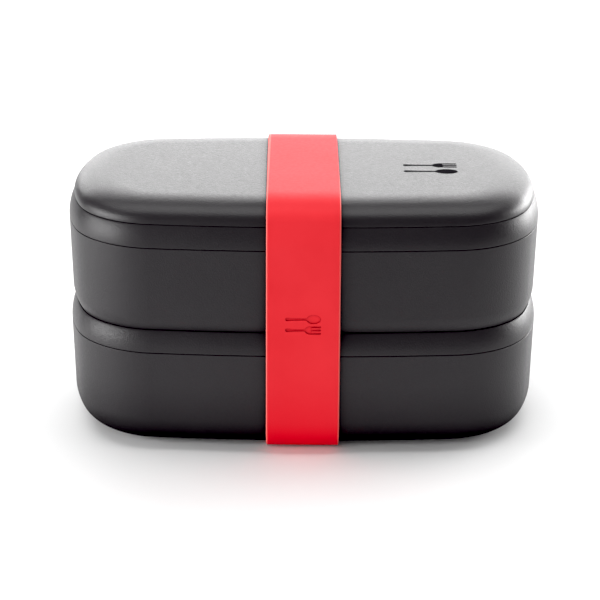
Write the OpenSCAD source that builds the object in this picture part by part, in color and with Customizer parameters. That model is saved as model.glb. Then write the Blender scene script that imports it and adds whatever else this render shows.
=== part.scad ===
// Two-tier lunch box: two deep containers with sealed lids, a top cover and an elastic strap.
// Frame: +Z up, X along the length, -Y is the front, z = 0 is the underside of the strap.

/* [Overall size] */
// Length of the containers at their rims
box_length = 188; // [170:1:220]
// Depth of the containers at their rims, front to back
box_depth = 108.5; // [102:0.5:120]
// Radius of the rounded corners in plan
corner_r = 35.5; // [34:0.5:40]
// How far the long sides bow outwards
side_bow = 2.5; // [1:0.25:3.5]
// How far the short ends bow outwards
end_bow = 2.5; // [0.5:0.25:4]

/* [Containers] */
// Height of each container
container_h = 40; // [36:0.2:46]
// Thickness of walls and floor
wall = 2.2; // [1.8:0.1:2.6]
// Radius of the rounding between wall and floor
floor_r = 12.4; // [11:0.2:13.4]
// How much the wall leans in from rim to floor
wall_lean = 0.85; // [0.4:0.05:1.4]

/* [Lids] */
// Height of the lid band above the container rim
lid_h = 8.7; // [8:0.1:10]
// How far the lid band curves in on its way up
lid_lean = 2.1; // [2:0.1:2.4]
// Height of the ledge that carries the next tier, above the rim
ledge_h = 2.6; // [2.4:0.1:3.4]
// Gap that is left at every seam
seam_gap = 0.2; // [0.1:0.05:0.3]

/* [Top cover] */
// Height of the cover above the lid band
cover_h = 7.8; // [7:0.2:12]
// Width of the soft roll between the side and the flat top
cover_roll = 17; // [14:0.5:19]
// How full the shoulder of the roll is
cover_full = 0.66; // [0.5:0.01:0.8]
// Thickness of the cover
cover_wall = 2.2; // [1.8:0.1:2.6]

/* [Strap] */
// Width of the strap
strap_w = 28.6; // [20:0.2:40]
// Thickness of the strap
strap_t = 1.4; // [1:0.1:2]
// Clearance between the strap and the stack
strap_gap = 0.2; // [0.15:0.05:0.4]

/* [Vent plug] */
// Radius of the steam hole in each lid
vent_r = 4; // [3:0.5:5]
// Radius of the head of the plug
plug_r = 8; // [6:0.5:9]

/* [Hidden] */
$fn = 96;
graphite = [0.13, 0.13, 0.14];
red = [0.88, 0.09, 0.12];
clear_grey = [0.75, 0.76, 0.78];

half_l = box_length / 2;
half_d = box_depth / 2;
// Centre of a plan corner, and the larger radii of the bowed sides and ends
corner_x = half_l - corner_r - end_bow;
corner_y = half_d - corner_r - side_bow;
side_r = corner_r + (corner_x * corner_x + side_bow * side_bow) / (2 * side_bow);
end_r = corner_r + (corner_y * corner_y + end_bow * end_bow) / (2 * end_bow);
side_a = asin(corner_x / (side_r - corner_r));
end_a = asin(corner_y / (end_r - corner_r));
corner_a = 90 - side_a - end_a;
// The outline as eight arcs: centre x, centre y, radius, start angle, sweep
arcs = [
    [half_l - end_r, 0, end_r, -end_a, 2 * end_a],
    [corner_x, corner_y, corner_r, end_a, corner_a],
    [0, half_d - side_r, side_r, 90 - side_a, 2 * side_a],
    [-corner_x, corner_y, corner_r, 90 + side_a, corner_a],
    [end_r - half_l, 0, end_r, 180 - end_a, 2 * end_a],
    [-corner_x, -corner_y, corner_r, 180 + end_a, corner_a],
    [0, side_r - half_d, side_r, 270 - side_a, 2 * side_a],
    [corner_x, -corner_y, corner_r, 270 + side_a, corner_a]
];
// Steps from a corner centre out along its two junction lines, past the outline
side_share = 0.12;
slice_reach = 60;
to_side = [corner_x, side_r - corner_r - side_bow] * side_share;
to_end = [end_r - corner_r - end_bow, corner_y] * ceil(slice_reach / (end_r - corner_r));
// The slice of plan that each arc fills, in the same order
function flip(p, sx, sy) = [p.x * sx, p.y * sy];
function corner_at(sx, sy) = flip([corner_x, corner_y], sx, sy);
function slice_end(s) = [
    corner_at(s, -1), corner_at(s, -1) + flip(to_end, s, -1),
    corner_at(s, 1) + flip(to_end, s, 1), corner_at(s, 1)
];
function slice_side(s) = [
    corner_at(1, s), corner_at(1, s) + flip(to_side, 1, s),
    corner_at(-1, s) + flip(to_side, -1, s), corner_at(-1, s)
];
function slice_corner(sx, sy) = [
    corner_at(sx, sy), corner_at(sx, sy) + flip(to_end, sx, sy),
    corner_at(sx, sy) + [sx, sy] * slice_reach, corner_at(sx, sy) + flip(to_side, sx, sy)
];
slices = [
    slice_end(1), slice_corner(1, 1), slice_side(1), slice_corner(-1, 1),
    slice_end(-1), slice_corner(-1, -1), slice_side(-1), slice_corner(1, -1)
];
// Flat middles are a prism; the rings around them reach in a little further than its corners
core_inset = 23;
ring_inset = 29;

// Levels
tier_z = [strap_t + strap_gap, strap_t + strap_gap + container_h + ledge_h + 2 * seam_gap];
rim_z = [tier_z[0] + container_h, tier_z[1] + container_h];
cover_z = rim_z[1] + seam_gap + lid_h + seam_gap;

// Lid: an outer band, a cove that takes the foot of the next tier, a ledge and a sunk panel
band_r = (lid_h * lid_h + lid_lean * lid_lean) / (2 * lid_lean);
band_a = asin(lid_h / band_r);
nest_gap = 0.7;
cove_r = floor_r + nest_gap;
cove_in = wall_lean + floor_r;
cove_drop = 0.5;
ridge_w = 0.2;
ridge_h = 0.05;
ledge_in = 20.5;
slope_w = 2;
panel_z = -0.8;
panel_t = 2.2;
// Skirt of the lid, with its groove, and the seal in the groove
skirt_in = 2.9;
skirt_t = 3;
skirt_depth = 6.2;
skirt_root = [cove_in - 3, 1.8];
lead_in = 0.5;
groove_in = 4.5;
groove_z = [-4.6, -2.2];
seal_stand = 0.3;
seal_lip = 0.8;
// Rim under the cover
rim_gap = 0.8;
rim_depth = 3.1;
rim_slant = 1.4;
// Vent plug
plug_x = box_length * 0.22;
plug_head_t = 1.6;
plug_edge = 0.5;
plug_tip = 0.8;
fit_gap = 0.05;
// Small bevel along the open edges
lip_r = 0.35;

// Points of an arc: centre, radius, first and last angle, number of steps
function arc_points(c, r, a0, a1, n) =
    [for (k = [0:n]) [c.x + r * cos(a0 + (a1 - a0) * k / n), c.y + r * sin(a0 + (a1 - a0) * k / n)]];

// A cubic curve with four control points, and its direction
function curve_at(p, t) =
    pow(1 - t, 3) * p[0] + 3 * pow(1 - t, 2) * t * p[1] + 3 * (1 - t) * t * t * p[2] + pow(t, 3) * p[3];
function curve_way(p, t) =
    pow(1 - t, 2) * (p[1] - p[0]) + 2 * (1 - t) * t * (p[2] - p[1]) + t * t * (p[3] - p[2]);

// Points along a cubic curve, moved outwards by an offset, from t0 to t1 in n steps
function curve_points(p, offset, t0, t1, n) = [
    for (k = [0:n])
        let (t = t0 + (t1 - t0) * k / n, way = curve_way(p, t))
            curve_at(p, t) + offset * [-way.y, way.x] / norm(way)
];

// Section of the roll of the cover, as [inset, z] control points, for a skin this far inside
function roll_curve(depth) =
    let (x0 = lid_lean + depth, x1 = lid_lean + cover_roll, z1 = cover_h - depth)
        [[x0, 0], [x0, z1 * cover_full], [x1 - (x1 - x0) * cover_full, z1], [x1, z1]];

// A length to the nearest thousandth
function fine(v) = round(v * 1000) / 1000;

// Where each arc of the outline starts, at a given inset
function junctions(inset) =
    [for (a = arcs) [a.x + (a[2] - inset) * cos(a[3]), a.y + (a[2] - inset) * sin(a[3])]];

// A closed section, given as [inset, z] points, carried all round the outline
module ring(section) {
    for (k = [0:7])
        intersection() {
            translate([arcs[k].x, arcs[k].y, 0])
                rotate_extrude(angle = arcs[k][4] + 4, start = arcs[k][3] - 2, $fn = 2 * arcs[k][2])
                    polygon([for (p = section) [arcs[k][2] - fine(p.x), fine(p.y)]]);
            translate([0, 0, -slice_reach])
                linear_extrude(2 * slice_reach)
                    polygon(slices[k]);
        }
}

// The flat middle of a floor, panel or cover
module core(z, t) {
    translate([0, 0, z])
        linear_extrude(t)
            polygon(junctions(core_inset));
}

module container() {
    foot = [wall_lean + floor_r, floor_r];
    outer = arc_points(foot, floor_r, 270, 180, 9);
    inner = arc_points(foot, floor_r - wall, 180, 270, 9);
    rim = [
        [0, container_h - lip_r], [lip_r, container_h],
        [wall - lip_r, container_h], [wall, container_h - lip_r]
    ];
    ring(concat([[ring_inset, 0]], outer, rim, inner, [[ring_inset, wall]]));
    core(0, wall);
}

// Lid drawn with z = 0 at its seam with the container
module lid() {
    band = arc_points([band_r, 0], band_r, 180, 180 - band_a, 6);
    cove_c = [cove_in, ledge_h + cove_r];
    cove_a = 180 + asin((cove_r + ledge_h - lid_h + cove_drop) / cove_r);
    cove = arc_points(cove_c, cove_r, cove_a, 270, 8);
    under = [
        [ring_inset, panel_z - panel_t], [ledge_in + slope_w / 2, panel_z - panel_t],
        [ledge_in - slope_w / 2, ledge_h - panel_t], [skirt_root.x, ledge_h - panel_t],
        [skirt_in + skirt_t, skirt_root.y], [skirt_in + skirt_t, -skirt_depth],
        [skirt_in + lead_in, -skirt_depth], [skirt_in, lead_in - skirt_depth],
        [skirt_in, groove_z[0]], [groove_in, groove_z[0]],
        [groove_in, groove_z[1]], [skirt_in, groove_z[1]],
        [skirt_in, 0], [lip_r, 0], [0, lip_r]
    ];
    ridge = [[lid_lean + ridge_w, lid_h + ridge_h]];
    panel = [[ledge_in, ledge_h], [ledge_in + slope_w, panel_z], [ring_inset, panel_z]];
    difference() {
        union() {
            ring(concat(under, [for (k = [1:6]) band[k]], ridge, cove, panel));
            core(panel_z - panel_t, panel_t);
        }
        translate([plug_x, 0, panel_z - 1.5 * panel_t])
            cylinder(r = vent_r, h = 2 * panel_t);
    }
}

// Silicone ring that sits in the groove of the lid skirt
module lid_seal() {
    lip = skirt_in - seal_stand;
    mid = (groove_z[0] + groove_z[1]) / 2;
    ring([
        [groove_in, groove_z[0]], [skirt_in, groove_z[0]], [lip, mid - seal_lip / 2],
        [lip, mid + seal_lip / 2], [skirt_in, groove_z[1]], [groove_in, groove_z[1]]
    ]);
}

// Vent plug drawn with z = 0 at the seam of its lid
module vent_plug() {
    translate([plug_x, 0, panel_z])
        rotate_extrude()
            polygon([
                [0, plug_head_t], [plug_r - plug_edge, plug_head_t], [plug_r, plug_head_t - plug_edge],
                [plug_r, 0], [vent_r - fit_gap, 0], [vent_r - fit_gap, -panel_t - plug_tip],
                [vent_r - plug_tip, -panel_t - 2 * plug_tip], [0, -panel_t - 2 * plug_tip]
            ]);
}

module lower_container() {
    color(graphite)
        translate([0, 0, tier_z[0]])
            container();
}

module upper_container() {
    color(graphite)
        translate([0, 0, tier_z[1]])
            container();
}

module lower_lid() {
    color(graphite)
        translate([0, 0, rim_z[0] + seam_gap])
            lid();
}

module upper_lid() {
    color(graphite)
        translate([0, 0, rim_z[1] + seam_gap])
            lid();
}

module lower_lid_seal() {
    color(clear_grey)
        translate([0, 0, rim_z[0] + seam_gap])
            lid_seal();
}

module upper_lid_seal() {
    color(clear_grey)
        translate([0, 0, rim_z[1] + seam_gap])
            lid_seal();
}

module lower_vent_plug() {
    color(red)
        translate([0, 0, rim_z[0] + seam_gap])
            vent_plug();
}

module upper_vent_plug() {
    color(red)
        translate([0, 0, rim_z[1] + seam_gap])
            vent_plug();
}

// Cover drawn with z = 0 at its lower edge; a short rim below it stands in the tray of the lid
module cover() {
    rim_in = lid_lean + cover_wall + rim_gap;
    outer = curve_points(roll_curve(0), 0, 0, 1, 12);
    inner = curve_points(roll_curve(cover_wall), 0, 1, 0, 10);
    rim = [
        [rim_in + cover_wall, 0], [rim_in + cover_wall, -rim_depth - rim_slant],
        [rim_in, -rim_depth], [rim_in, 0], [lid_lean + lip_r, 0]
    ];
    ring(concat(
        [for (k = [1:12]) outer[k]],
        [[ring_inset, cover_h], [ring_inset, cover_h - cover_wall]],
        [for (k = [0:9]) inner[k]], rim
    ));
    core(cover_h - cover_wall, cover_wall);
}

module top_cover() {
    color(graphite)
        translate([0, 0, cover_z])
            cover();
}

// In the YZ plane the strap follows round supports: centre y, centre z, radius
supports = [
    [half_d - wall_lean - floor_r, tier_z[0] + floor_r, floor_r],
    [half_d - band_r, rim_z[0], band_r],
    [half_d - band_r, rim_z[1], band_r]
];
// Direction in which the strap leaves one support for the next
function leave_angle(a, b) =
    atan2(b.y - a.y, b.x - a.x) - acos((a.z - b.z) / norm([b.x - a.x, b.y - a.y]));
// Above the upper lid it spans to this far along the roll of the cover, and follows the roll
strap_touch = 0.12;
touch_way = curve_way(roll_curve(0), strap_touch);
strap_a = [-90, leave_angle(supports[0], supports[1]), 0, atan2(touch_way.x, touch_way.y)];
strap_steps = [12, 1, 4];
function strap_side(offset) = concat(
    [for (k = [0:2])
        each arc_points(supports[k], supports[k].z + offset, strap_a[k], strap_a[k + 1], strap_steps[k])],
    [for (p = curve_points(roll_curve(0), offset, strap_touch, 1, 10)) [half_d - p.x, cover_z + p.y]]
);
function strap_loop(side) = concat(side, [for (k = [len(side) - 1:-1:0]) [-side[k].x, side[k].y]]);

module strap() {
    color(red)
        translate([-strap_w / 2, 0, 0])
            rotate([90, 0, 90])
                linear_extrude(strap_w)
                    difference() {
                        polygon(strap_loop(strap_side(strap_gap + strap_t)));
                        polygon(strap_loop(strap_side(strap_gap)));
                    }
}

lower_container();
lower_lid();
lower_lid_seal();
lower_vent_plug();
upper_container();
upper_lid();
upper_lid_seal();
upper_vent_plug();
top_cover();
strap();
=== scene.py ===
from math import acos, asin, atan2, cos, degrees, hypot, pi, radians, sin, tau

import bmesh
import bpy
from mathutils import Euler, Matrix, Vector


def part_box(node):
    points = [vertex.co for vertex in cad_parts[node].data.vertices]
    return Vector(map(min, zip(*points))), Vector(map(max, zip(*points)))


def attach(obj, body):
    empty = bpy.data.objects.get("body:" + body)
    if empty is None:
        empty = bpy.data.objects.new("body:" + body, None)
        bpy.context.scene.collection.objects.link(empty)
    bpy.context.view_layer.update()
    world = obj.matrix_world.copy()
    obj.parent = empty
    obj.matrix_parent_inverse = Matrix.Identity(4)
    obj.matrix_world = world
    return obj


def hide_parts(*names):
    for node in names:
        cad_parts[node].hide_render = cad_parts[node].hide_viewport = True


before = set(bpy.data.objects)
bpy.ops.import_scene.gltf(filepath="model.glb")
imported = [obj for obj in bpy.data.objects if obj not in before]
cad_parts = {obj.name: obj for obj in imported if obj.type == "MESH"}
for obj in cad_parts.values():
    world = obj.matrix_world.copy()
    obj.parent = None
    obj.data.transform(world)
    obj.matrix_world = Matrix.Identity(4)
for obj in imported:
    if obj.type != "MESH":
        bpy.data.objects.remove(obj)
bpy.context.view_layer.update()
MM = 0.001

# ---------------------------------------------------------------- driving sizes, in millimetres
# Outline of the box: rounded corners between slightly bowed sides and ends
HALF_LENGTH = 94.0
HALF_DEPTH = 54.25
CORNER_R = 35.5
SIDE_BOW = 2.5
END_BOW = 2.5
# Containers
CONTAINER_H = 40.0
WALL = 2.2
FLOOR_R = 12.4
WALL_LEAN = 0.85
# Lids: heights count from the container's rim, insets from the outline
LID_H = 8.7
LID_LEAN = 2.1
LEDGE_H = 2.6
LEDGE_IN = 20.5
LEDGE_SLOPE = 2.0
LEDGE_UNDERCUT = 3.0
PANEL_Z = -0.8
PANEL_T = 2.2
PANEL_EDGE_R = 0.8
COVE_GAP = 0.7
COVE_DROP = 0.5
SKIRT_IN = 2.9
SKIRT_T = 3.0
SKIRT_ROOT = 1.8
SKIRT_DEPTH = 6.2
GROOVE_IN = 4.5
GROOVE_LOW = -4.6
GROOVE_HIGH = -2.2
VENT_R = 4.0
# A low ridge tops the lid's band: steps inwards and upwards from the top of the band
RIDGE = ((0.06, -0.06), (0.17, 0.02), (0.30, -0.04))
# Cover: how far its roll reaches in, how full the roll is, and the rim that stands in the upper lid
COVER_H = 7.8
COVER_ROLL = 17.0
COVER_FULL = 0.66
COVER_RIM_GAP = 0.8
COVER_RIM_DEPTH = 3.1
COVER_RIM_SLANT = 1.4
# The hollow stops this share of the roll above the foot, which leaves a web to hold the rim
COVER_WEB = 0.1
# Strap: it meets the cover at this share of the roll, and leans to one side towards the back
STRAP_W = 28.6
STRAP_T = 1.4
STRAP_GAP = 0.2
STRAP_BEAD = 0.55
STRAP_TOUCH = 0.12
STRAP_SKEW = 0.8
# Seams, the roundings of outer lips, of hidden corners and of small pieces
SEAM_GAP = 0.2
EDGE_R = 0.28
INSIDE_R = 0.3
SOFT_EDGE = 0.15
# The flat middles of floors, panels and the cover's top start this far inside the outline
RING_INSET = 29.0

# ---------------------------------------------------------------- how finely curves are cut
END_STEPS = 20
CORNER_STEPS = 34
SIDE_STEPS = 44
FOOT_STEPS = 26
INNER_STEPS = 22
ROLL_STEPS = 34
WALL_STEPS = 12
BAND_STEPS = 14
LIP_STEPS = 5
LEDGE_STEPS = 5
FLAT_STEPS = 4
VENT_STEPS = 48

TIER_Z = [STRAP_T + STRAP_GAP, STRAP_T + STRAP_GAP + CONTAINER_H + LEDGE_H + 2 * SEAM_GAP]
RIM_Z = [z + CONTAINER_H for z in TIER_Z]
COVER_Z = RIM_Z[1] + LID_H + 2 * SEAM_GAP
BAND_R = (LID_H**2 + LID_LEAN**2) / (2 * LID_LEAN)


# ---------------------------------------------------------------- plan outline
def plan_arcs():
    """The outline as eight tangent arcs: (centre x, centre y, radius, start angle, sweep, steps)."""
    cx = HALF_LENGTH - CORNER_R - END_BOW
    cy = HALF_DEPTH - CORNER_R - SIDE_BOW
    side_r = CORNER_R + (cx**2 + SIDE_BOW**2) / (2 * SIDE_BOW)
    end_r = CORNER_R + (cy**2 + END_BOW**2) / (2 * END_BOW)
    side_a = asin(cx / (side_r - CORNER_R))
    end_a = asin(cy / (end_r - CORNER_R))
    corner_a = pi / 2 - side_a - end_a
    quarter = [
        (HALF_LENGTH - end_r, 0, end_r, -end_a, 2 * end_a, END_STEPS),
        (cx, cy, CORNER_R, end_a, corner_a, CORNER_STEPS),
        (0, HALF_DEPTH - side_r, side_r, pi / 2 - side_a, 2 * side_a, SIDE_STEPS),
        (-cx, cy, CORNER_R, pi / 2 + side_a, corner_a, CORNER_STEPS),
    ]
    half_turn = [(-x, -y, r, a + pi, sweep, n) for x, y, r, a, sweep, n in quarter]
    return quarter + half_turn


def plan_points():
    """Points of the outline with their outward normals."""
    points = []
    for x, y, r, start, sweep, n in plan_arcs():
        for k in range(n):
            a = start + sweep * k / n
            points.append((Vector((x + r * cos(a), y + r * sin(a))), Vector((cos(a), sin(a)))))
    return points


PLAN = plan_points()


# ---------------------------------------------------------------- section tools
def arc(cx, cz, r, a0, a1, n):
    """Points of an arc in a section, angles in degrees."""
    steps = [radians(a0 + (a1 - a0) * k / n) for k in range(n + 1)]
    return [(cx + r * cos(a), cz + r * sin(a)) for a in steps]


def line(p, q, n):
    """Points between p and q, without the two ends."""
    return [(p[0] + (q[0] - p[0]) * k / n, p[1] + (q[1] - p[1]) * k / n) for k in range(1, n)]


def cubic(p, t):
    """A point on a cubic curve and its direction."""
    p = [Vector(q) for q in p]
    s = 1 - t
    point = p[0] * s**3 + p[1] * 3 * s * s * t + p[2] * 3 * s * t * t + p[3] * t**3
    way = (p[1] - p[0]) * s * s + (p[2] - p[1]) * 2 * s * t + (p[3] - p[2]) * t * t
    return point, way.normalized()


def roll_curve(depth=0.0):
    """Control points of the cover's roll, for a skin this far inside."""
    x0, x1, z1 = LID_LEAN + depth, LID_LEAN + COVER_ROLL, COVER_H - depth
    return [(x0, 0), (x0, z1 * COVER_FULL), (x1 - (x1 - x0) * COVER_FULL, z1), (x1, z1)]


def cubic_points(p, t0, t1, n, offset=0.0):
    """Points along a cubic curve, moved outwards by an offset."""
    points = []
    for k in range(n + 1):
        point, way = cubic(p, t0 + (t1 - t0) * k / n)
        points.append((point.x - way.y * offset, point.y + way.x * offset))
    return points


def lip(inset):
    """Round lower edge of a band, from its underside to its outer face."""
    underside_end = 262
    return [(inset + EDGE_R, 0)] + arc(inset + EDGE_R, EDGE_R, EDGE_R, underside_end, 180, LIP_STEPS)


def rounded(points, r, steps=4):
    """A row of (x, z) points with every corner but the two ends rounded by up to r."""
    most_of_side, nearly_straight = 0.45, radians(155)
    out = [points[0]]
    for k in range(1, len(points) - 1):
        p, q, s = (Vector(point) for point in points[k - 1:k + 2])
        a, b = p - q, s - q
        cut = min(r, a.length * most_of_side, b.length * most_of_side)
        if a.angle(b, pi) > nearly_straight:
            out.append((q.x, q.y))
            continue
        start, end = q + a.normalized() * cut, q + b.normalized() * cut
        for m in range(steps + 1):
            t = m / steps
            point = start * (1 - t) ** 2 + q * 2 * t * (1 - t) + end * t * t
            out.append((point.x, point.y))
    return out + [points[-1]]


# ---------------------------------------------------------------- mesh tools
def finish_mesh(name, bm, material, body, node, weight=True):
    """Turns a bmesh into a smooth piece that rides on a body and stands for a CAD node.

    With weight off, the caller sets the shading of flat faces itself."""
    same_place, face_weight = 1e-7, 80
    bmesh.ops.remove_doubles(bm, verts=bm.verts, dist=same_place)
    bmesh.ops.recalc_face_normals(bm, faces=bm.faces)
    mesh = bpy.data.meshes.new(name)
    bm.to_mesh(mesh)
    bm.free()
    mesh.polygons.foreach_set("use_smooth", [True] * len(mesh.polygons))
    mesh.materials.append(material)
    piece = bpy.data.objects.new(name, mesh)
    bpy.context.scene.collection.objects.link(piece)
    if weight:
        modifier = piece.modifiers.new("weighted", "WEIGHTED_NORMAL")
        modifier.weight = face_weight
    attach(piece, body)
    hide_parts(node)
    return piece


def ring_at(bm, inset, height):
    """A ring of vertices this far inside the outline, in millimetres, at a height in metres."""
    return [bm.verts.new(((p - n * inset).x * MM, (p - n * inset).y * MM, height)) for p, n in PLAN]


def swept_ring(bm, section, z0, caps):
    """Carries an (inset, z) section round the outline; caps lists the section points to close over."""
    rows = [ring_at(bm, inset, (z + z0) * MM) for inset, z in section]
    count = len(PLAN)
    for low, high in zip(rows, rows[1:]):
        for j in range(count):
            i = (j + 1) % count
            bm.faces.new((low[j], low[i], high[i], high[j]))
    for k in caps:
        bm.faces.new(rows[k])


def shell(name, section, z0, material, body, node):
    """A closed shell: the section starts and ends at the ring inset, where flat middles close it."""
    bm = bmesh.new()
    swept_ring(bm, section, z0, (0, len(section) - 1))
    return finish_mesh(name, bm, material, body, node)


# ---------------------------------------------------------------- node tools for materials
class Nodes:
    """Short calls for building a material's node tree."""

    def __init__(self, name):
        self.material = bpy.data.materials.new(name)
        self.material.use_nodes = True
        self.tree = self.material.node_tree
        self.shader = self.tree.nodes["Principled BSDF"]
        self.place = self.tree.nodes.new("ShaderNodeTexCoord").outputs["Object"]

    def add(self, kind, **values):
        """A new node with these properties."""
        node = self.tree.nodes.new(kind)
        for key, value in values.items():
            setattr(node, key, value)
        return node

    def link(self, source, target):
        """Joins two sockets."""
        self.tree.links.new(source, target)

    def noise(self, scale, detail):
        """Noise with this many cells to the metre."""
        node = self.add("ShaderNodeTexNoise")
        self.link(self.place, node.inputs["Vector"])
        node.inputs["Scale"].default_value = scale
        node.inputs["Detail"].default_value = detail
        return node.outputs["Fac"]

    def span(self, factor, low, high, from_low=0.3, from_high=0.7):
        """Maps a value from one range to low and high; the default range is that of noise."""
        node = self.add("ShaderNodeMapRange")
        self.link(factor, node.inputs["Value"])
        values = (("From Min", from_low), ("From Max", from_high), ("To Min", low), ("To Max", high))
        for key, value in values:
            node.inputs[key].default_value = value
        return node.outputs["Result"]

    def mix(self, factor, first, second):
        """Mixes two colours, each a tuple or a socket."""
        node = self.add("ShaderNodeMix", data_type="RGBA")
        # The colour sockets stand after those for numbers and vectors
        colours_in, colour_out = node.inputs[6:8], node.outputs[2]
        self.link(factor, node.inputs[0])
        for socket, value in zip(colours_in, (first, second)):
            if isinstance(value, tuple):
                socket.default_value = (*value, 1)
            else:
                self.link(value, socket)
        return colour_out

    def bump(self, height, strength, distance, under=None):
        """Surface relief of this depth in metres, on top of another one if given."""
        node = self.add("ShaderNodeBump")
        self.link(height, node.inputs["Height"])
        node.inputs["Strength"].default_value = strength
        node.inputs["Distance"].default_value = distance
        if under is not None:
            self.link(under, node.inputs["Normal"])
        return node.outputs["Normal"]

    def occlusion(self, distance):
        """How open the surface is within this distance: 0 hidden, 1 open."""
        node = self.add("ShaderNodeAmbientOcclusion", samples=6)
        node.inputs["Distance"].default_value = distance
        return node.outputs["AO"]

    def across(self):
        """Distance from the middle plane x = 0."""
        split = self.add("ShaderNodeSeparateXYZ")
        self.link(self.place, split.inputs[0])
        node = self.add("ShaderNodeMath", operation="ABSOLUTE")
        self.link(split.outputs["X"], node.inputs[0])
        return node.outputs[0]

    def set(self, **values):
        """Sets constants on the shader, with _ for a space in a socket's name."""
        for key, value in values.items():
            self.shader.inputs[key.replace("_", " ")].default_value = value


# ---------------------------------------------------------------- materials
# Colours in linear light: a pair is the darkest and the palest of a faint cloudiness
BLACK = (0, 0, 0)
CHARCOAL = ((0.0110, 0.0099, 0.0112), (0.0152, 0.0139, 0.0155))
RED = ((0.78, 0.028, 0.036), (0.83, 0.036, 0.045))
RED_SHADED = (0.76, 0.006, 0.020)
RED_RIM_HIGHLIGHT = (0.96, 0.26, 0.22)
RED_RECESS_SHADE = (0.30, 0.002, 0.006)
SEAL_GREY = ((0.17, 0.17, 0.18), (0.22, 0.22, 0.23))
INK_BLACK = ((0.012, 0.012, 0.013), (0.020, 0.020, 0.022))
FLOOR_WHITE = ((0.92, 0.92, 0.92), (0.93, 0.93, 0.93))


def cloudy(m, colours, scale, detail):
    """A colour that drifts between the two of a pair."""
    return m.mix(m.span(m.noise(scale, detail), 0, 1), *colours)


def paler(colour, times):
    """The same colour, this many times as bright."""
    return tuple(c * times for c in colour)


def soft_touch_plastic(name, rough):
    """Matt charcoal plastic with a fine moulded grain, slightly paler edges, and painted shade in hidden
    places.
    """
    m = Nodes(name)
    flecks, rims = paler(CHARCOAL[1], 1.7), paler(CHARCOAL[1], 3.0)
    body = cloudy(m, CHARCOAL, 28, 4)
    fleck = m.mix(m.span(m.noise(2600, 2), 0, 0.35, 0.45, 0.75), body, flecks)
    edge = m.add("ShaderNodeNewGeometry").outputs["Pointiness"]
    wear_and_rim_highlight = m.mix(m.span(edge, 0, 0.35, 0.52, 0.62), fleck, rims)
    # Painted shade: seams, insides and the foot near the floor are darkened in colour and gloss by how
    # hidden they are
    open_share = m.occlusion(0.030)
    with_painted_shade = m.mix(m.span(open_share, 0.35, 1, 0.25, 1), BLACK, wear_and_rim_highlight)
    m.link(with_painted_shade, m.shader.inputs["Base Color"])
    m.link(m.span(open_share, 0.0, 0.43, 0.48, 0.97), m.shader.inputs["Specular IOR Level"])
    m.link(m.span(m.noise(900, 3), rough - 0.03, rough + 0.04), m.shader.inputs["Roughness"])
    grain = m.bump(m.noise(1700, 4), 0.9, 0.00012)
    m.link(m.bump(m.noise(60, 2), 0.06, 0.0006, grain), m.shader.inputs["Normal"])
    return m.material


def red_silicone(name, rim):
    """Satin red silicone: painted shade makes it deeper red and less glossy where hidden and in
    recesses, and a painted highlight makes it paler between the two rim distances from x = 0.
    """
    m = Nodes(name)
    body = cloudy(m, RED, 45, 4)
    # Painted shade: the more hidden the surface, as at the foot near the floor, the deeper the red and
    # the lower the gloss
    open_share = m.occlusion(0.045)
    full = m.mix(m.span(open_share, 0, 1, 0.45, 0.95), RED_SHADED, body)
    # Painted highlight: the strap's side edges are paler red between the two rim distances
    wear_and_rim_highlight = m.mix(m.span(m.across(), 0, 0.6, *rim), full, RED_RIM_HIGHLIGHT)
    # Painted shade: the grooves of the pressed mark turn deep red
    recess_shade = m.mix(m.span(m.occlusion(0.0012), 0.75, 0, 0.35, 0.95), wear_and_rim_highlight, RED_RECESS_SHADE)
    m.link(recess_shade, m.shader.inputs["Base Color"])
    m.link(m.span(open_share, 0.01, 0.12, 0.25, 0.80), m.shader.inputs["Specular IOR Level"])
    m.link(m.span(m.noise(700, 3), 0.48, 0.56), m.shader.inputs["Roughness"])
    grain = m.bump(m.noise(3600, 2), 0.3, 0.00004)
    m.link(m.bump(m.noise(90, 2), 0.10, 0.0005, grain), m.shader.inputs["Normal"])
    return m.material


def seal_silicone(name):
    """Grey silicone of the lid seals."""
    m = Nodes(name)
    m.link(cloudy(m, SEAL_GREY, 60, 3), m.shader.inputs["Base Color"])
    m.link(m.span(m.noise(800, 3), 0.36, 0.48), m.shader.inputs["Roughness"])
    m.link(m.bump(m.noise(3000, 2), 0.2, 0.00004), m.shader.inputs["Normal"])
    m.set(Specular_IOR_Level=0.4, Subsurface_Weight=0.15, Subsurface_Scale=0.002)
    return m.material


def printed_ink(name):
    """Dark ink of the printed fork and spoon."""
    m = Nodes(name)
    m.link(cloudy(m, INK_BLACK, 1500, 3), m.shader.inputs["Base Color"])
    m.link(m.span(m.noise(1200, 2), 0.5, 0.62), m.shader.inputs["Roughness"])
    m.link(m.bump(m.noise(3200, 2), 0.3, 0.00003), m.shader.inputs["Normal"])
    m.set(Specular_IOR_Level=0.0)
    return m.material


def pale_floor(name):
    """Plain studio floor."""
    m = Nodes(name)
    m.link(cloudy(m, FLOOR_WHITE, 3, 2), m.shader.inputs["Base Color"])
    m.link(m.span(m.noise(40, 2), 0.60, 0.66), m.shader.inputs["Roughness"])
    m.set(Specular_IOR_Level=0.2)
    return m.material


# Where the strap's edges get a painted highlight, in metres from x = 0; nothing is as far out as NO_RIM
STRAP_HIGHLIGHT_RIM = (0.01365, 0.01405)
NO_RIM = (0.2, 0.3)
container_plastic = soft_touch_plastic("container_plastic", 0.42)
lid_plastic = soft_touch_plastic("lid_plastic", 0.40)
cover_plastic = soft_touch_plastic("cover_plastic", 0.37)
strap_silicone = red_silicone("strap_silicone", STRAP_HIGHLIGHT_RIM)
plug_silicone = red_silicone("plug_silicone", NO_RIM)
seal_material = seal_silicone("seal_silicone")
ink = printed_ink("printed_ink")


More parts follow.
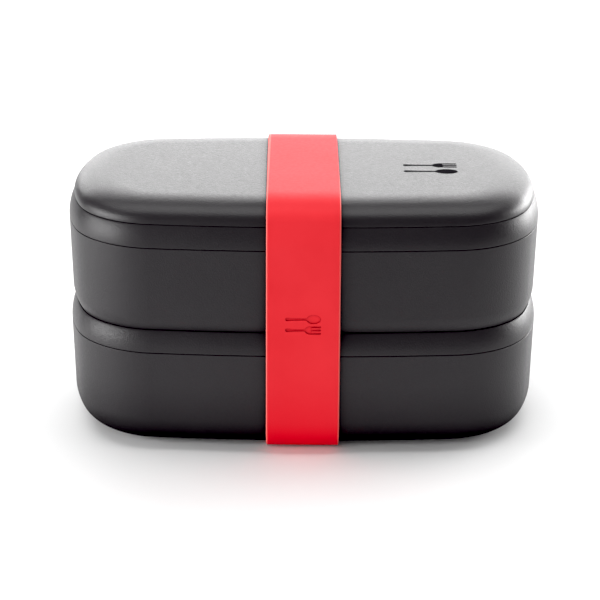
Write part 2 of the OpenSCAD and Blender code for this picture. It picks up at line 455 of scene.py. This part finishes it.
# ---------------------------------------------------------------- containers
def container_section():
    """Section of a container, from the middle of its underside over the rim to its floor."""
    foot = WALL_LEAN + FLOOR_R
    outer = arc(foot, FLOOR_R, FLOOR_R, 270, 180, FOOT_STEPS)
    wall_out = line(outer[-1], (0, CONTAINER_H - EDGE_R), WALL_STEPS)
    rim_out = arc(EDGE_R, CONTAINER_H - EDGE_R, EDGE_R, 180, 90, LIP_STEPS)
    rim_in = arc(WALL - EDGE_R, CONTAINER_H - EDGE_R, EDGE_R, 90, 0, LIP_STEPS)
    inner = arc(foot, FLOOR_R, FLOOR_R - WALL, 180, 270, INNER_STEPS)
    wall_in = line(rim_in[-1], inner[0], WALL_STEPS)
    floor_out = [(RING_INSET, 0)] + line((RING_INSET, 0), outer[0], FLAT_STEPS)
    floor_in = line(inner[-1], (RING_INSET, WALL), FLAT_STEPS) + [(RING_INSET, WALL)]
    return floor_out + outer + wall_out + rim_out + rim_in + wall_in + inner + floor_in


def container(name, z0, body):
    """A container that stands at height z0."""
    piece = shell(name + "_shell", container_section(), z0, container_plastic, body, name)
    return piece


# ---------------------------------------------------------------- lids
def lid_underside():
    """Lower side of a lid, from the panel over the skirt and its groove to the outer lip."""
    underside, slope = LEDGE_H - PANEL_T, LEDGE_SLOPE / 2
    cove_in = WALL_LEAN + FLOOR_R
    points = [
        (RING_INSET, PANEL_Z - PANEL_T), (LEDGE_IN + slope, PANEL_Z - PANEL_T),
        (LEDGE_IN - slope, underside), (cove_in - LEDGE_UNDERCUT, underside),
        (SKIRT_IN + SKIRT_T, SKIRT_ROOT), (SKIRT_IN + SKIRT_T, -SKIRT_DEPTH),
        (SKIRT_IN, -SKIRT_DEPTH), (SKIRT_IN, GROOVE_LOW), (GROOVE_IN, GROOVE_LOW),
        (GROOVE_IN, GROOVE_HIGH), (SKIRT_IN, GROOVE_HIGH), (SKIRT_IN, 0),
    ]
    return rounded(points + lip(0)[:1], INSIDE_R)[:-1] + lip(0)


def lid_topside():
    """Upper side of a lid: the curved band, its ridge, the cove for the next tier, and the panel."""
    cove_in, cove_r = WALL_LEAN + FLOOR_R, FLOOR_R + COVE_GAP
    lip_turn, ridge_room, cove_end = 0.6, 0.3, 268
    band_low = degrees(asin(EDGE_R / BAND_R)) + lip_turn
    band_top = degrees(asin((LID_H - ridge_room) / BAND_R))
    band = arc(BAND_R, 0, BAND_R, 180 - band_low, 180 - band_top, BAND_STEPS)
    ridge = [(LID_LEAN + inwards, LID_H + upwards) for inwards, upwards in RIDGE]
    cove_start = 180 + degrees(asin((cove_r + LEDGE_H - LID_H + COVE_DROP) / cove_r))
    cove = arc(cove_in, LEDGE_H + cove_r, cove_r, cove_start, cove_end, INNER_STEPS)
    panel = [(LEDGE_IN, LEDGE_H), (LEDGE_IN + LEDGE_SLOPE, PANEL_Z), (RING_INSET, PANEL_Z)]
    ledge = line(cove[-1], panel[0], LEDGE_STEPS)
    slope = rounded(cove[-1:] + panel, PANEL_EDGE_R, LEDGE_STEPS)[1:-1]
    return band + ridge + cove + ledge + slope


def lid(name, z0, body):
    """A lid whose outer band starts at height z0."""
    bm = bmesh.new()
    section = lid_underside() + lid_topside()
    swept_ring(bm, section, z0, ())
    lid_panel(bm, z0, section[-1], section[0])
    piece = finish_mesh(name + "_shell", bm, lid_plastic, body, name)
    return piece


def vent_place(node):
    """Centre of a vent plug, from the frame."""
    low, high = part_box(node)
    return (low[0] + high[0]) / 2, (low[1] + high[1]) / 2


def lid_panel(bm, z0, top, bottom):
    """Flat middle of a lid, top and bottom, with the round steam hole through it."""
    x, y = vent_place("lower_vent_plug")
    turns = [tau * k / VENT_STEPS for k in range(VENT_STEPS)]
    around = [(x + VENT_R * MM * cos(a), y + VENT_R * MM * sin(a)) for a in turns]
    holes = []
    for inset, z in (top, bottom):
        height = (z + z0) * MM
        ring = ring_at(bm, inset, height)
        hole = [bm.verts.new((*point, height)) for point in around]
        holes.append(hole)
        edges = [bm.edges.new((loop[k - 1], loop[k])) for loop in (ring, hole) for k in range(len(loop))]
        bmesh.ops.triangle_fill(bm, edges=edges, use_beauty=True)
    for k in range(VENT_STEPS):
        bm.faces.new((holes[0][k - 1], holes[0][k], holes[1][k], holes[1][k - 1]))


# ---------------------------------------------------------------- top cover
def cover_section():
    """Section of the cover, from the middle of its hollow round the rim to the middle of its top."""
    outer = cubic_points(roll_curve(), 0, 1, ROLL_STEPS)
    inner = cubic_points(roll_curve(WALL), 1, COVER_WEB, INNER_STEPS)
    lip_room = 0.1
    above_lip = [p for p in outer if p[1] > EDGE_R + lip_room]
    near, far = LID_LEAN + WALL + COVER_RIM_GAP, LID_LEAN + 2 * WALL + COVER_RIM_GAP
    rim = [
        (far, 0), (far, -COVER_RIM_DEPTH - COVER_RIM_SLANT), (near, -COVER_RIM_DEPTH), (near, 0),
    ]
    edge = lip(LID_LEAN)
    rim = rounded(inner[-1:] + rim + edge[:1], INSIDE_R)[1:-1]
    middle, middle_in = (RING_INSET, COVER_H), (RING_INSET, COVER_H - WALL)
    top_in = [middle_in] + line(middle_in, inner[0], FLAT_STEPS)
    return top_in + inner + rim + edge + above_lip + line(outer[-1], middle, FLAT_STEPS) + [middle]


def top_cover():
    """The hollow cover on top of the stack."""
    piece = shell("top_cover_shell", cover_section(), COVER_Z, cover_plastic, "cover", "top_cover")
    return piece


# ---------------------------------------------------------------- strap
def strap_path(offset):
    """Half of the strap's path in the YZ plane, bottom to top, at an offset outside the stack."""
    band_steps, free_steps, roll_steps, flat_steps = 2, 10, 26, 8
    foot = (HALF_DEPTH - WALL_LEAN - FLOOR_R, TIER_Z[0] + FLOOR_R)
    rims = [(HALF_DEPTH - BAND_R, z) for z in RIM_Z]
    rise, reach = rims[0][1] - foot[1], rims[0][0] - foot[0]
    lean = atan2(rise, reach) - acos((FLOOR_R - BAND_R) / hypot(reach, rise))
    _, way = cubic(roll_curve(), STRAP_TOUCH)
    leave = atan2(way.x, way.y)
    lower = arc(*rims[0], BAND_R + offset, degrees(lean), 0, band_steps)
    upper = arc(*rims[1], BAND_R + offset, 0, degrees(leave), free_steps)
    on_cover = cubic_points(roll_curve(), STRAP_TOUCH, 1, roll_steps, offset)
    roll = [(HALF_DEPTH - x, COVER_Z + z) for x, z in on_cover]
    path = arc(*foot, FLOOR_R + offset, -90, degrees(lean), FOOT_STEPS)
    path += lower[:1] + line(*lower[:2], 3 * band_steps) + lower[1:]
    path += line(path[-1], upper[0], free_steps) + upper
    path += line(path[-1], roll[0], flat_steps) + roll
    start, end = (0, path[0][1]), (0, path[-1][1])
    return line(start, path[0], flat_steps) + path + line(path[-1], end, flat_steps) + [end]


def strap_loop(offset):
    """The strap's whole path, front and back, as a closed loop."""
    side = strap_path(offset)
    return side + [(-y, z) for y, z in reversed(side[:-1])] + [(0, side[0][1])]


def strap_across():
    """The strap's cross-section: (x, height) going round it, height 0 inside and 1 outside."""
    flat_steps, bead_steps = 28, 8
    half = STRAP_W / 2 - STRAP_BEAD
    outside = [(-half + 2 * half * k / flat_steps) for k in range(flat_steps + 1)]
    turns = [pi / 2 - pi * k / bead_steps for k in range(1, bead_steps)]
    bead = [(STRAP_BEAD * cos(a), 0.5 * sin(a)) for a in turns]
    points = [(x, 1.0) for x in outside] + [(half + x, 0.5 + h) for x, h in bead]
    return points + [(x, 0.0) for x in reversed(outside)] + [(-half - x, 0.5 - h) for x, h in bead]


def cutlery_outlines(kinds, pitch):
    """Small forks and spoons, as outlines in millimetres, side by side and centred."""
    length, end_r, bowl_w, bowl_l, bowl_start = 16.0, 0.85, 2.2, 3.3, -1.2
    end_steps, bowl_steps = 6, 16
    handle = arc(0, end_r, end_r, -90, 0, end_steps)[1:] + [(0.6, 3.0)]
    turns = [bowl_start + (pi / 2 - bowl_start) * k / bowl_steps for k in range(bowl_steps)]
    bowl = [(bowl_w * cos(a), length - bowl_l + bowl_l * sin(a)) for a in turns]
    neck = [(0.5, 8.6), (1.5, 9.4), (2.0, 10.6)]
    outer_prong = [(2.0, 15.7), (1.8, length), (1.3, length), (1.1, 15.7), (1.1, 12.0), (0.9, 11.7)]
    inner_prong = [(0.7, 11.7), (0.45, 12.0), (0.45, 15.7), (0.25, length)]
    halves = {
        "spoon": handle + [(0.5, 9.2)] + bowl + [(0.0, length)],
        "fork": handle + neck + outer_prong + inner_prong,
    }
    pieces = []
    for k, kind in enumerate(kinds):
        half, shift = halves[kind], (k - (len(kinds) - 1) / 2) * pitch
        outline = half + [(-u, v) for u, v in reversed(half) if u > 0]
        pieces.append([(u + shift, v - length / 2) for u, v in outline])
    return pieces


def cutlery_mesh(name, outlines, place, low, high):
    """Slabs of these outlines; place turns (u, v, height) into a point in metres."""
    bm = bmesh.new()
    for outline in outlines:
        base, top = ([bm.verts.new(place(u, v, h)) for u, v in outline] for h in (low, high))
        bm.faces.new(list(reversed(base)))
        bm.faces.new(top)
        for k in range(len(outline)):
            bm.faces.new((base[k - 1], base[k], top[k], top[k - 1]))
    bmesh.ops.recalc_face_normals(bm, faces=bm.faces)
    bmesh.ops.triangulate(bm, faces=[f for f in bm.faces if len(f.verts) > 4])
    mesh = bpy.data.meshes.new(name)
    bm.to_mesh(mesh)
    bm.free()
    return mesh


def cover_print():
    """Printed fork and spoon on the right half of the cover."""
    centre, level, scale, pitch = 50.5, COVER_Z + COVER_H, 1.35, 6.0
    sunk, proud = 0.02, 0.03

    def place(u, v, h):
        return (centre + v * scale) * MM, u * scale * MM, (level + h) * MM

    shapes = cutlery_outlines(("spoon", "fork"), pitch)
    mesh = cutlery_mesh("cover_print", shapes, place, -sunk, proud)
    mesh.materials.append(ink)
    piece = bpy.data.objects.new("cover_print", mesh)
    bpy.context.scene.collection.objects.link(piece)
    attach(piece, "cover")


def mark_cutter():
    """Fork and spoon lying on their side, standing out from just inside the strap's front."""
    face = -(HALF_DEPTH + STRAP_GAP + STRAP_T)
    height, depth, proud, scale, pitch = 55.5, 0.45, 1.0, 0.86, 5.2

    def place(u, v, h):
        return v * scale * MM, (face - h) * MM, (height + u * scale) * MM

    shapes = cutlery_outlines(("fork", "spoon"), pitch)
    cutter = bpy.data.objects.new("cutter", cutlery_mesh("cutter", shapes, place, -depth, proud))
    bpy.context.scene.collection.objects.link(cutter)
    return cutter


def press_mark(piece):
    """Presses the fork and spoon into the strap, and keeps their edges crisp."""
    cutter = mark_cutter()
    modifier = piece.modifiers.new("mark", "BOOLEAN")
    modifier.object = cutter
    modifier.operation = "DIFFERENCE"
    modifier.solver = "EXACT"
    graph = bpy.context.evaluated_depsgraph_get()
    shaped = bpy.data.meshes.new_from_object(piece.evaluated_get(graph))
    piece.modifiers.clear()
    piece.data = shaped
    bpy.data.objects.remove(cutter)
    shaped.set_sharp_from_angle(angle=radians(50))
    weighted = piece.modifiers.new("weighted", "WEIGHTED_NORMAL")
    weighted.keep_sharp = True


def strap():
    """One closed band round the stack, with the mark pressed into its front."""
    inner, outer = strap_loop(STRAP_GAP), strap_loop(STRAP_GAP + STRAP_T)
    across = strap_across()
    bm = bmesh.new()
    loops = []
    for (iy, iz), (oy, oz) in zip(inner, outer):
        skew = STRAP_SKEW * (oy / HALF_DEPTH + 1) / 2
        loops.append([
            bm.verts.new(((x - skew) * MM, (iy + (oy - iy) * h) * MM, (iz + (oz - iz) * h) * MM))
            for x, h in across
        ])
    width = len(across)
    for k, loop in enumerate(loops):
        before = loops[k - 1]
        for j in range(width):
            i = (j + 1) % width
            bm.faces.new((before[j], before[i], loop[i], loop[j]))
    piece = finish_mesh("strap_band", bm, strap_silicone, "band", "strap", weight=False)
    press_mark(piece)
    return piece


# ---------------------------------------------------------------- small pieces kept from the CAD
def dress(node, material):
    """Gives a CAD node its material and a soft edge."""
    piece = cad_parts[node]
    for slot in piece.material_slots:
        slot.material = material
    modifier = piece.modifiers.new("soft_edge", "BEVEL")
    modifier.width = SOFT_EDGE * MM
    modifier.segments = 2
    modifier.limit_method = "ANGLE"
    modifier.angle_limit = radians(40)


# ---------------------------------------------------------------- camera, floor and light
def camera():
    """Camera in front of the box and above it, looking down on it with a long lens."""
    distance, height_angle, down, roll = 0.9451, radians(20.12), radians(19.26), radians(0.37)
    aim = 0.050 + (STRAP_T + STRAP_GAP) * MM
    data = bpy.data.cameras.new("camera")
    data.sensor_width = 36
    data.lens = 139.11
    data.shift_x = -0.006
    data.shift_y = -0.0838
    obj = bpy.data.objects.new("camera", data)
    bpy.context.scene.collection.objects.link(obj)
    obj.location = (0, -distance * cos(height_angle), aim + distance * sin(height_angle))
    turn = Euler((pi / 2 - down, 0, 0)).to_matrix() @ Matrix.Rotation(roll, 3, "Z")
    obj.rotation_euler = turn.to_euler()
    bpy.context.scene.camera = obj


def stage_piece(name, bm, material):
    """A piece of the studio, not of the lunch box."""
    mesh = bpy.data.meshes.new(name)
    bm.to_mesh(mesh)
    bm.free()
    mesh.materials.append(material)
    obj = bpy.data.objects.new(name, mesh)
    bpy.context.scene.collection.objects.link(obj)
    return obj


def floor():
    """Floor that stops a little in front of the box, so that the box mirrors darkness beyond it."""
    side, front, back = 0.9, -0.36, 1.15
    corners = ((-side, front), (side, front), (side, back), (-side, back))
    bm = bmesh.new()
    bm.faces.new([bm.verts.new((x, y, 0)) for x, y in corners])
    stage_piece("floor", bm, pale_floor("floor"))


def backdrop():
    """White dome far away, which only the camera sees."""
    m = Nodes("backdrop")
    m.set(Emission_Strength=1.0)
    m.shader.inputs["Base Color"].default_value = (*BLACK, 1)
    m.shader.inputs["Emission Color"].default_value = (1, 1, 1, 1)
    bm = bmesh.new()
    bmesh.ops.create_icosphere(bm, subdivisions=4, radius=8.0)
    dome = stage_piece("backdrop", bm, m.material)
    dome.visible_diffuse = False
    dome.visible_glossy = False
    dome.visible_shadow = False


def area_light(name, place, target, size, radiance, glossy=True):
    """A softbox of this brightness, aimed at a point; with glossy off it leaves no reflection."""
    data = bpy.data.lights.new(name, "AREA")
    data.shape = "RECTANGLE"
    data.size, data.size_y = size
    data.energy = radiance * pi * size[0] * size[1]
    obj = bpy.data.objects.new(name, data)
    obj.location = place
    obj.rotation_euler = (Vector(target) - Vector(place)).to_track_quat("-Z", "Y").to_euler()
    obj.visible_camera = False
    obj.visible_glossy = glossy
    bpy.context.scene.collection.objects.link(obj)


def lights():
    """Large softboxes all round, and a dim white world."""
    middle, top = (0, 0, 0.05), (0, 0, 0.10)
    area_light("back_box", (0.1, 1.3, 0.42), top, (2.0, 0.66), 4.75)
    area_light("top_box", (0, 0.10, 1.0), middle, (1.6, 0.8), 2.4)
    area_light("left_box", (-0.93, -0.22, 0.20), middle, (0.8, 0.40), 8.6)
    area_light("right_box", (0.84, 0.56, 0.18), middle, (0.75, 0.36), 12.6)
    area_light("front_card", (-1.1, -1.5, 0.22), middle, (1.9, 0.44), 1.0)
    area_light("front_fill", (-0.45, -1.35, 0.9), middle, (1.2, 0.8), 2.45, glossy=False)
    world = bpy.data.worlds.new("studio")
    world.use_nodes = True
    background = world.node_tree.nodes["Background"]
    background.inputs["Color"].default_value = (1, 1, 1, 1)
    background.inputs["Strength"].default_value = 0.16
    bpy.context.scene.world = world


def contrast():
    """Plain view with the black point raised a little, as in a bright studio photograph."""
    view = bpy.context.scene.view_settings
    view.view_transform = "Standard"
    view.use_curve_mapping = True
    view.curve_mapping.black_level = (0.0065, 0.0080, 0.0065)
    view.curve_mapping.update()


# ---------------------------------------------------------------- build
camera()
container("lower_container", TIER_Z[0], "lower_tier")
container("upper_container", TIER_Z[1], "upper_tier")
lid("lower_lid", RIM_Z[0] + SEAM_GAP, "lower_cap")
lid("upper_lid", RIM_Z[1] + SEAM_GAP, "upper_cap")
top_cover()
cover_print()
strap()
dress("lower_lid_seal", seal_material)
dress("upper_lid_seal", seal_material)
dress("lower_vent_plug", plug_silicone)
dress("upper_vent_plug", plug_silicone)
floor()
backdrop()
lights()
contrast()
